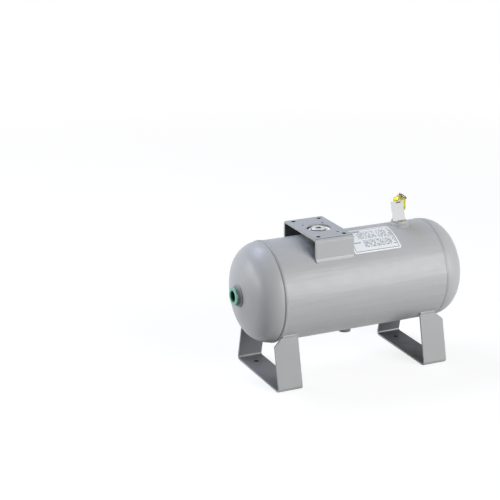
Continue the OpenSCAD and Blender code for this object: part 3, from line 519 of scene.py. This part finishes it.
finishes = {
    "shell": shellPaint, "head_left": headPaint, "head_right": headPaint,
    "girth_weld_left": weldPaint, "girth_weld_right": weldPaint,
    "port_boss_left": portPaint, "port_boss_right": portPaint,
    "port_cap_left": polyethylene, "port_cap_right": polyethylene,
    "top_boss": facedPaint, "top_plug": zincPlate, "top_seal": nitrile,
    "drain_boss": drainPaint, "drain_plug": zincPlate, "valve_boss": headPaint,
    "foot_left": footPaint, "foot_right": footPaint, "foot_welds": weldPaint,
    "mounting_bracket": bracketPaint, "bracket_welds": weldPaint, "nameplate": labelFoil,
    "valve_body": machinedBrass, "valve_bonnet": yellowZinc, "adjusting_screw": machinedBrass,
    "valve_disc": machinedBrass, "disc_seal": nitrile, "valve_spring": springWire,
    "valve_stem": zincPlate, "pull_ring": blackOxide, "tag_tie": zincPlate, "tag": coatedCard,
}
for name, material in finishes.items():
    mesh = nodes[name].data
    mesh.materials.clear()
    mesh.materials.append(material)
print("materials laid on", len(finishes), "nodes")


def startTree(name, sizes):
    # an empty tree with named inputs, the identifiers that set them, and their sockets inside
    tree = bpy.data.node_groups.new(name, "GeometryNodeTree")
    face = tree.interface
    face.new_socket("Geometry", in_out="INPUT", socket_type="NodeSocketGeometry")
    face.new_socket("Geometry", in_out="OUTPUT", socket_type="NodeSocketGeometry")
    inputs = {}
    for label, kind, value in (*sizes, ("Finish", "Material", None)):
        socket = face.new_socket(label, in_out="INPUT", socket_type="NodeSocket" + kind)
        if value is not None:
            socket.default_value = value
        inputs[label] = socket.identifier
    return tree, inputs, addNode(tree, "NodeGroupInput").outputs


def endTree(tree, shape, finish):
    real = addNode(tree, "GeometryNodeRealizeInstances", None, {"Geometry": shape})
    painted = addNode(tree, "GeometryNodeSetMaterial", None, {"Geometry": real, "Material": finish})
    addNode(tree, "NodeGroupOutput", None, {"Geometry": painted})


def sweepTree():
    # lens-shaped section along a path, heaped in overlapping ripples as a welder leaves it
    tree, inputs, given = startTree("rippled sweep", (
        ("Width", "Float", 0.005), ("Height", "Float", 0.001), ("Pitch", "Float", 0.002),
        ("Ripple", "Float", 0.2), ("Unevenness", "Float", 0.05), ("Seed", "Int", 1), ("Sides", "Int", 12)))
    path = addNode(tree, "GeometryNodeMeshToCurve", None, {"Mesh": given["Geometry"]})
    # seven sections to a ripple
    step = addNode(tree, "ShaderNodeMath", {"operation": "DIVIDE"}, [given["Pitch"], 7.0])
    fine = addNode(tree, "GeometryNodeResampleCurve", {"mode": "LENGTH"}, {"Curve": path, "Length": step})
    upward = addNode(tree, "GeometryNodeInputNamedAttribute", {"data_type": "FLOAT_VECTOR", "Name": "up"})
    stood = addNode(tree, "GeometryNodeSetCurveNormal", {"mode": "FREE"},
                    {"Curve": fine.outputs["Curve"], "Normal": upward.outputs["Attribute"]})
    # each ripple is an arch one pitch long, and each is a little smaller by chance
    length = addNode(tree, "GeometryNodeSplineParameter").outputs["Length"]
    along = addNode(tree, "ShaderNodeMath", {"operation": "DIVIDE"}, [length, given["Pitch"]])
    coin = addNode(tree, "ShaderNodeMath", {"operation": "MULTIPLY"}, [along, math.pi])
    for operation in ("SINE", "ABSOLUTE", "SQRT"):
        coin = addNode(tree, "ShaderNodeMath", {"operation": operation}, [coin])
    ripple = addNode(tree, "ShaderNodeMath", {"operation": "FLOOR"}, [along])
    chance = addNode(tree, "FunctionNodeRandomValue", {"data_type": "FLOAT"},
                     {"ID": ripple, "Seed": given["Seed"]}).outputs[1]
    dip = addNode(tree, "ShaderNodeMath", {"operation": "SUBTRACT"}, [1.0, coin])
    factors = []
    for share, part in ((given["Ripple"], dip), (given["Unevenness"], chance)):
        loss = addNode(tree, "ShaderNodeMath", {"operation": "MULTIPLY"}, [share, part])
        factors.append(addNode(tree, "ShaderNodeMath", {"operation": "SUBTRACT"}, [1.0, loss]))
    size = addNode(tree, "ShaderNodeMath", {"operation": "MULTIPLY"}, factors)
    sized = addNode(tree, "GeometryNodeSetCurveRadius", None,
                    {"Curve": stood.outputs["Curve"], "Radius": size})
    ring = addNode(tree, "GeometryNodeCurvePrimitiveCircle", {"Radius": 1.0}, {"Resolution": given["Sides"]})
    halfWidth = addNode(tree, "ShaderNodeMath", {"operation": "DIVIDE"}, [given["Width"], 2.0])
    scale = addNode(tree, "ShaderNodeCombineXYZ", None, [given["Height"], halfWidth, 1.0])
    section = addNode(tree, "GeometryNodeTransform", None,
                      {"Geometry": ring.outputs["Curve"], "Scale": scale.outputs["Vector"]})
    swept = addNode(tree, "GeometryNodeCurveToMesh", {"Fill Caps": True},
                    {"Curve": sized.outputs["Curve"], "Profile Curve": section.outputs["Geometry"]})
    smooth = addNode(tree, "GeometryNodeSetShadeSmooth", None, {"Geometry": swept})
    endTree(tree, smooth, given["Finish"])
    return tree, inputs


def ribTree():
    # small blocks stood in a ring, for moulded ribs and knurling
    tree, inputs, given = startTree("ring of ribs", (
        ("Count", "Int", 8), ("Radius", "Float", 0.01), ("Size", "Vector", (0.001, 0.001, 0.001)),
        ("Place", "Vector", (0, 0, 0)), ("Turn", "Vector", (0, 0, 0))))
    circle = addNode(tree, "GeometryNodeCurvePrimitiveCircle", None,
                     {"Resolution": given["Count"], "Radius": given["Radius"]})
    points = addNode(tree, "GeometryNodeCurveToPoints", {"mode": "EVALUATED"},
                     {"Curve": circle.outputs["Curve"]})
    block = addNode(tree, "GeometryNodeMeshCube", None, {"Size": given["Size"]})
    outward = addNode(tree, "FunctionNodeAlignRotationToVector", {"axis": "X"},
                      {"Vector": addNode(tree, "GeometryNodeInputPosition").outputs["Position"]})
    stood = addNode(tree, "GeometryNodeInstanceOnPoints", None,
                    {"Points": points.outputs["Points"], "Instance": block.outputs["Mesh"],
                     "Rotation": outward.outputs["Rotation"]})
    moved = addNode(tree, "GeometryNodeTransform", None,
                    {"Geometry": stood.outputs["Instances"], "Translation": given["Place"],
                     "Rotation": given["Turn"]})
    endTree(tree, moved, given["Finish"])
    return tree, inputs


def pathMesh(name, paths):
    # edges only, with the direction in which the bead stands kept on each point
    points, edges, ups = [], [], []
    for line, closed in paths:
        first = len(points)
        points += [tuple(p) for p, _ in line]
        ups += [tuple(u) for _, u in line]
        edges += [(first + i, first + i + 1) for i in range(len(line) - 1)]
        if closed:
            edges.append((len(points) - 1, first))
    mesh = bpy.data.meshes.new(name)
    mesh.from_pydata(points, edges, [])
    attribute = mesh.attributes.new("up", "FLOAT_VECTOR", "POINT")
    for item, up in zip(attribute.data, ups):
        item.vector = up
    return mesh


def grown(name, mesh, recipe, settings, body, replaced=()):
    tree, inputs = recipe
    piece = bpy.data.objects.new(name, mesh)
    bpy.context.scene.collection.objects.link(piece)
    modifier = piece.modifiers.new("grow", "NODES")
    modifier.node_group = tree
    for label, value in settings.items():
        modifier[inputs[label]] = value
    graph = bpy.context.evaluated_depsgraph_get()
    result = bpy.data.meshes.new_from_object(piece.evaluated_get(graph))
    piece.modifiers.clear()
    piece.data = result
    bpy.data.meshes.remove(mesh)
    if settings.get("Finish") and not result.materials:
        result.materials.append(settings["Finish"])
    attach(piece, body)
    if replaced:
        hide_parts(*replaced)
    return piece


sweep = sweepTree()
ribs = ribTree()

def girthPath(x, lift):
    line = []
    for i in range(180):
        a = 2 * math.pi * i / 180
        out = Vector((0, math.cos(a), math.sin(a)))
        centre = Vector((x * mm, 0, tankSizes["axis"] * mm))
        line.append((centre + out * (tankSizes["radius"] + lift) * mm, out))
    return [(line, True)]


def portPath(side):
    # the fillet's face runs from the boss to the dished head: the bead lies on its middle
    bossR = tankSizes["portDiameter"] / 2
    toe = bossR + tankSizes["fillet"]
    toeX = tankSizes["crownCentre"] + math.sqrt(tankSizes["crown"] ** 2 - toe ** 2)
    midR = (bossR + toe) / 2
    midX = (toeX + tankSizes["apex"] + tankSizes["fillet"]) / 2 - tankSizes["sunk"]
    line = []
    for i in range(90):
        a = 2 * math.pi * i / 90
        out = Vector((0, math.cos(a), math.sin(a)))
        centre = Vector((side * midX * mm, 0, tankSizes["axis"] * mm))
        up = (out + Vector((side, 0, 0))).normalized()
        line.append((centre + out * midR * mm, up))
    return [(line, True)]


def saddlePath(x, diameter, down=False):
    # round a boss on the shell: the fillet's toe drops with the cylinder
    bossR, radius, fillet = diameter / 2, tankSizes["radius"], tankSizes["fillet"]
    line = []
    for i in range(90):
        a = 2 * math.pi * i / 90
        toe = bossR
        for _ in range(30):
            surface = math.sqrt(radius ** 2 - (toe * math.sin(a)) ** 2)
            toe = bossR + fillet + (radius - surface)
        surface = math.sqrt(radius ** 2 - (toe * math.sin(a)) ** 2)
        r = (bossR + toe) / 2
        z = (surface + radius + fillet) / 2
        out = Vector((math.cos(a), math.sin(a), 0))
        up = (out + Vector((0, 0, 1))).normalized()
        place = out * r + Vector((0, 0, z - tankSizes["sunk"]))
        if down:
            place.z, up.z = -place.z, -up.z
        line.append(((place + Vector((x, 0, tankSizes["axis"]))) * mm, up))
    return [(line, True)]


beadLook = {
    "girth": {"Width": 5.4 * mm, "Height": 1.65 * mm, "Pitch": 2.4 * mm, "Ripple": 0.16,
              "Unevenness": 0.08, "Seed": 3, "Sides": 14, "Finish": weldPaint},
    "dressed": {"Width": 5.4 * mm, "Height": 0.4 * mm, "Pitch": 2.4 * mm, "Ripple": 0.12,
                "Unevenness": 0.08, "Seed": 5, "Sides": 14, "Finish": weldPaint},
    "fillet": {"Width": 6.4 * mm, "Height": 0.45 * mm, "Pitch": 2.8 * mm, "Ripple": 0.2,
               "Unevenness": 0.12, "Seed": 7, "Sides": 14, "Finish": weldPaint},
}
# both beads' middles lie a little inside the shell's face, the dressed one less
grown("beadGirthLeft", pathMesh("beadGirthLeft", girthPath(-tankSizes["seam"], -0.2)), sweep,
      beadLook["girth"], "tank", ["girth_weld_left"])
grown("beadGirthRight", pathMesh("beadGirthRight", girthPath(tankSizes["seam"], -0.1)), sweep,
      beadLook["dressed"], "tank", ["girth_weld_right"])
for name, path, paint in (("beadPortLeft", portPath(-1), portPaint),
                          ("beadPortRight", portPath(1), portPaint),
                          ("beadTopBoss", saddlePath(*tankSizes["topBoss"]), weldPaint),
                          ("beadValveBoss", saddlePath(*tankSizes["valveBoss"]), weldPaint),
                          ("beadDrain", saddlePath(*tankSizes["drainBoss"], down=True), drainPaint)):
    grown(name, pathMesh(name, path), sweep, dict(beadLook["fillet"], Finish=paint), "tank")
print("boss and girth beads laid")

def crossBead(inner, face, turn):
    # middle, direction and width of a fillet between a plate's face and the shell, seen along the tank
    axis, radius = tankSizes["axis"], tankSizes["radius"]
    away = math.atan2(inner[1] - axis, inner[0])
    toe = Vector((radius * math.cos(away + turn), axis + radius * math.sin(away + turn)))
    face = Vector(face)
    along = toe - face
    up = Vector((abs(along.y), abs(along.x) * (1 if face.y > axis else -1))).normalized()
    return (face + toe) / 2, up, along.length


def straightPath(x0, x1, middle, up, side):
    line = []
    for i in range(13):
        x = x0 + (x1 - x0) * i / 12
        line.append((Vector((x, side * middle.x, middle.y)) * mm, Vector((0, side * up.x, up.y))))
    return (line, False)


def footBeads(sizes):
    axis, radius = tankSizes["axis"], tankSizes["radius"]
    lean = math.radians(sizes["lean"])
    outward = Vector((math.cos(lean), math.sin(lean)))
    upLeg = Vector((-math.sin(lean), math.cos(lean)))
    start = Vector((sizes["length"] / 2 - sizes["bend"], sizes["bend"]))
    start += (sizes["bend"] - sizes["plate"]) * outward
    rel = start - Vector((0, axis))
    along = rel.dot(upLeg)
    reach = -along - math.sqrt(along ** 2 - rel.dot(rel) + (radius + sizes["gap"]) ** 2)
    inner = start + reach * upLeg
    face = inner + sizes["plate"] * outward - sizes["onPlate"] * upLeg
    turn = (sizes["plate"] + sizes["reach"]) / radius
    middle, up, width = crossBead(inner, face, turn)
    left = sizes["shift"] - sizes["pitch"] / 2 - sizes["width"] / 2 + sizes["corner"]
    right = sizes["shift"] + sizes["pitch"] / 2 - sizes["width"] / 2 + 0.5
    run = sizes["width"] - sizes["corner"] - 0.5
    return [straightPath(x, x + run, middle, up, side)
            for x in (left, right) for side in (-1, 1)], width


def bracketBeads(sizes):
    axis, radius = tankSizes["axis"], tankSizes["radius"]
    inside = sizes["length"] / 2 - sizes["plate"]
    foot = axis + math.sqrt((radius + footSizes["gap"]) ** 2 - inside ** 2)
    face = (sizes["length"] / 2, foot + sizes["onPlate"])
    turn = -(sizes["plate"] + sizes["reach"]) / radius
    middle, up, width = crossBead((inside, foot), face, turn)
    x0 = sizes["middle"] - sizes["width"] / 2 + 0.5
    return [straightPath(x0, x0 + sizes["width"] - 1, middle, up, side) for side in (-1, 1)], width


plateBeads = {"beadFeet": footBeads(footSizes), "beadBracket": bracketBeads(bracketSizes)}
for name, (paths, width) in plateBeads.items():
    look = dict(beadLook["fillet"], Width=(width + 0.4) * mm, Height=0.5 * mm, Seed=len(paths),
                Finish=wetWeldPaint if name == "beadBracket" else weldPaint)
    grown(name, pathMesh(name, paths), sweep, look, "tank")
print("plate beads laid")


for name, side in (("capRibsLeft", -1), ("capRibsRight", 1)):
    grown(name, bpy.data.meshes.new(name), ribs, {
        "Count": capSizes["count"],
        "Radius": (capSizes["bore"] - capSizes["rib"] / 2 + capSizes["rooted"]) * mm,
        "Size": (capSizes["rib"] * mm, capSizes["ribWidth"] * mm, capSizes["depth"] * mm),
        "Place": (side * (capSizes["face"] - capSizes["depth"] / 2 - capSizes["behind"]) * mm, 0,
                  tankSizes["axis"] * mm),
        "Turn": (0, math.pi / 2, 0), "Finish": polyethylene}, "tank")

grown("bonnetKnurl", bpy.data.meshes.new("bonnetKnurl"), ribs, {
    "Count": valveSizes["knurls"], "Radius": (valveSizes["bonnetR"] - valveSizes["rooted"]) * mm,
    "Size": tuple(size * mm for size in valveSizes["knurlSize"]),
    "Place": (*valveAxis, (valveSizes["knurlLow"] + valveSizes["knurlSize"][2] / 2) * mm),
    "Turn": (0, 0, 0), "Finish": yellowZinc}, "tank")


def splitRingPath(sizes):
    # two flat turns of one strip, lying side by side
    droop = math.radians(sizes["droop"])
    across = Vector((math.cos(droop), 0, -math.sin(droop)))
    normal = Vector((math.sin(droop), 0, math.cos(droop)))
    line = []
    steps = 150
    for i in range(steps + 1):
        a = 2 * math.pi * sizes["turns"] * i / steps
        # the strip crosses from one side to the other where its first turn closes
        shift = sizes["apart"] * (min(max((i / steps - 0.42) / 0.12, 0), 1) - 0.5)
        local = (across * (sizes["ringR"] + sizes["ringR"] * math.cos(a))
                 + Vector((0, sizes["ringR"] * math.sin(a), 0)) + normal * shift)
        line.append((valvePlace(local.x, local.y, sizes["hinge"] + local.z), valveWay(*normal)))
    return [(line, False)]


grown("splitRing", pathMesh("splitRing", splitRingPath(valveSizes)), sweep, {
    "Width": valveSizes["strip"][0] * mm, "Height": valveSizes["strip"][1] * mm, "Pitch": 4 * mm,
    "Ripple": 0.0, "Unevenness": 0.0,
    "Seed": 1, "Sides": 12, "Finish": blackOxide}, "ring", ["pull_ring"])

tieSizes = {
    "wire": 0.98, "neck": 5.2, "rise": 4.1,             # loop round the valve's neck, above the shoulder
    "back": 12.25, "front": 14.45, "middle": 13.4,      # how far out it passes the tag
    "slot": -3.5, "aside": 3.4,                         # the tag's slot below the shoulder and beside
}


def tiePath(s):
    aside = s["aside"]

    def half(side, v):
        return [(side * 0.5 - aside, -v, s["slot"]), (side * 1.0 - aside, -v, -1.2),
                (side * 1.5 - 0.9 * aside, -v + (0.7 if v > s["back"] else 0.1), 0.6),
                (side * 2.2 - 0.6 * aside, -s["back"] + 1.6, 1.7),
                (side * 3.4 - 0.2 * aside, -7.4, 3.1),
                (side * 4.6, -4.2, s["rise"]), (side * s["neck"], -0.8, s["rise"])]
    arc = [(s["neck"] * math.cos(math.radians(a)), s["neck"] * math.sin(math.radians(a)), s["rise"])
           for a in (30, 60, 90, 120, 150)]
    knots = ([(-aside, -s["middle"], s["slot"] - 0.35)] + half(1, s["front"]) + arc
             + half(-1, s["back"])[::-1])
    knots = [Vector(k) for k in knots]
    n = len(knots)
    smooth = []
    for i in range(n):
        a, b, c, d = (knots[(i + k) % n] for k in (-1, 0, 1, 2))
        for j in range(6):
            t = j / 6
            smooth.append(0.5 * ((2 * b) + (c - a) * t + (2 * a - 5 * b + 4 * c - d) * t * t
                                 + (3 * b - a - 3 * c + d) * t ** 3))
    line, up = [], Vector((0, 0, 1))
    for i, point in enumerate(smooth):
        way = (smooth[(i + 1) % len(smooth)] - smooth[i - 1]).normalized()
        up = (up - way * up.dot(way)).normalized()
        line.append((valvePlace(point.x, point.y, point.z + valveSizes["shoulder"]),
                     valveWay(*up)))
    return [(line, True)]


grown("tieWire", pathMesh("tieWire", tiePath(tieSizes)), sweep, {
    "Width": tieSizes["wire"] * mm, "Height": tieSizes["wire"] / 2 * mm, "Pitch": 1.6 * mm,
    "Ripple": 0.1, "Unevenness": 0.0,
    "Seed": 2, "Sides": 12, "Finish": zincPlate}, "tank", ["tag_tie"])
print("small pieces grown")


stageSizes = {
    "half": 30.0,
    "near": 0.6,         # metres from the tank up to which the floor takes the full shadow
    "far": 2.2,          # and where nothing of it is left
    "albedo": 0.32,      # grey that the floor bounces, so that the undersides stay dark
    "glowNear": 0.80,    # white that is seen beside the tank, before the lamps add theirs
    "world": 0.10,
    # painted reflection, seen in gloss only: from the left towards the camera the floor looks grey
    "headX": -0.19,      # metres, from where the next angles are taken
    "edge": 6.0,         # degrees from the left, towards the camera
    "soft": 14.0,
    "beyond": 0.2,       # how bright it is past the edge
    "last": 62.0,        # degrees, from where it is white again
    # millimetres each way of a foot's middle, and the share of the white that is lost under it
    "footHalf": 22.0,
    "footReach": 84.0,
    "underFeet": 0.93,
}


def seenRays(tree):
    # 1 for what the camera sees directly, in a gloss or through something clear
    rays = addNode(tree, "ShaderNodeLightPath").outputs
    seen = rays["Is Camera Ray"]
    for kind in ("Is Glossy Ray", "Is Transmission Ray"):
        seen = addNode(tree, "ShaderNodeMath", {"operation": "MAXIMUM"}, [seen, rays[kind]])
    return seen


def stageFloor(sizes):
    half = sizes["half"]
    mesh = bpy.data.meshes.new("floor")
    mesh.from_pydata([(-half, -half, 0), (half, -half, 0), (half, half, 0), (-half, half, 0)], [],
                     [(0, 1, 2, 3)])
    floor = bpy.data.objects.new("floor", mesh)
    bpy.context.scene.collection.objects.link(floor)
    material = bpy.data.materials.new("white sweep")
    material.use_nodes = True
    tree = material.node_tree
    tree.nodes.clear()
    point = addNode(tree, "ShaderNodeTexCoord").outputs["Object"]
    away = addNode(tree, "ShaderNodeVectorMath", {"operation": "LENGTH"}, [point]).outputs["Value"]
    shade, glow = (addNode(tree, "ShaderNodeMapRange", {
        "From Min": sizes["near"], "From Max": sizes["far"], "To Min": near, "To Max": far},
        {"Value": away}) for near, far in ((sizes["albedo"], 0.0), (sizes["glowNear"], 1.0)))
    matt = addNode(tree, "ShaderNodeBsdfDiffuse", None, {"Color": shade})
    # painted reflection: a gloss sees the floor white as far as the left, grey past that edge, and white
    # again in front
    x, y, z = addNode(tree, "ShaderNodeSeparateXYZ", None, {"Vector": point}).outputs
    front = addNode(tree, "ShaderNodeMath", {"operation": "MULTIPLY"}, [y, -1.0])
    left = addNode(tree, "ShaderNodeMath", {"operation": "SUBTRACT"}, [sizes["headX"], x])
    turn = addNode(tree, "ShaderNodeMath", {"operation": "ARCTAN2"}, [front, left])
    glossGrey = addNode(tree, "ShaderNodeMapRange", {
        "interpolation_type": "SMOOTHSTEP", "From Min": math.radians(sizes["edge"]),
        "From Max": math.radians(sizes["edge"] + sizes["soft"]), "To Min": 1.0, "To Max": sizes["beyond"]},
        {"Value": turn})
    before = addNode(tree, "ShaderNodeMath", {"operation": "LESS_THAN"}, [turn, math.radians(sizes["last"])])
    glossy = addNode(tree, "ShaderNodeLightPath").outputs["Is Glossy Ray"]
    greyed = addNode(tree, "ShaderNodeMath", {"operation": "MULTIPLY"}, [glossy, before])
    ends = addNode(tree, "ShaderNodeMix", {"data_type": "FLOAT"}, {0: greyed, 2: 1.0, 3: glossGrey})
    # no light gets under the foot plates, which shows in their bolt holes
    aside = addNode(tree, "ShaderNodeMath", {"operation": "SUBTRACT"}, [x, footSizes["shift"] * mm])
    far = addNode(tree, "ShaderNodeMath", {"operation": "ABSOLUTE"}, [aside])
    under = addNode(tree, "ShaderNodeMath", {"operation": "MULTIPLY"}, [
        addNode(tree, "ShaderNodeMath", {"operation": "COMPARE"},
                [far, footSizes["pitch"] / 2 * mm, sizes["footHalf"] * mm]),
        addNode(tree, "ShaderNodeMath", {"operation": "COMPARE"}, [y, 0.0, sizes["footReach"] * mm])])
    lost = addNode(tree, "ShaderNodeMath", {"operation": "MULTIPLY"}, [under, sizes["underFeet"]])
    strength = addNode(tree, "ShaderNodeMath", {"operation": "SUBTRACT"}, [1.0, lost])
    for factor in (seenRays(tree), ends, glow):
        strength = addNode(tree, "ShaderNodeMath", {"operation": "MULTIPLY"}, [strength, factor])
    light = addNode(tree, "ShaderNodeEmission", {"Color": (1, 1, 1, 1)}, {"Strength": strength})
    both = addNode(tree, "ShaderNodeAddShader", None, [matt, light])
    addNode(tree, "ShaderNodeOutputMaterial", None, {"Surface": both})
    mesh.materials.append(material)


def stageWorld(strength):
    world = bpy.data.worlds.new("studio")
    bpy.context.scene.world = world
    world.use_nodes = True
    tree = world.node_tree
    tree.nodes.clear()
    soft = addNode(tree, "ShaderNodeBackground", {"Color": linear("E6EDF6"), "Strength": strength})
    white = addNode(tree, "ShaderNodeBackground", {"Color": (1, 1, 1, 1), "Strength": 1.0})
    mix = addNode(tree, "ShaderNodeMixShader", None, [seenRays(tree), soft, white])
    addNode(tree, "ShaderNodeOutputWorld", None, {"Surface": mix})


def softbox(name, place, target, size, power, tint):
    data = bpy.data.lights.new(name, "AREA")
    data.shape = "RECTANGLE"
    data.size, data.size_y = size
    data.energy = power
    data.color = linear(tint)[:3]
    lamp = bpy.data.objects.new(name, data)
    lamp.location = place
    lamp.rotation_euler = (Vector(target) - Vector(place)).to_track_quat("-Z", "Y").to_euler()
    bpy.context.scene.collection.objects.link(lamp)


lampSizes = {
    # place, where it points, width and height in metres, watts and tint
    "key box": ((1.38, -2.64, 1.2), (0, 0, 0.17), (2.2, 2.4), 92, "FFFFFF"),
    "left box": ((-2.37, 1.0, 0.58), (-0.2, 0, 0.16), (2.2, 1.05), 33, "FFFFFF"),
    "sky box": ((-0.62, 1.15, 1.75), (-0.15, 0, 0.2), (1.2, 0.9), 21, "DAE4FF"),
}
stageFloor(stageSizes)
stageWorld(stageSizes["world"])
for name, lamp in lampSizes.items():
    softbox(name, *lamp)
print("stage and lamps set")
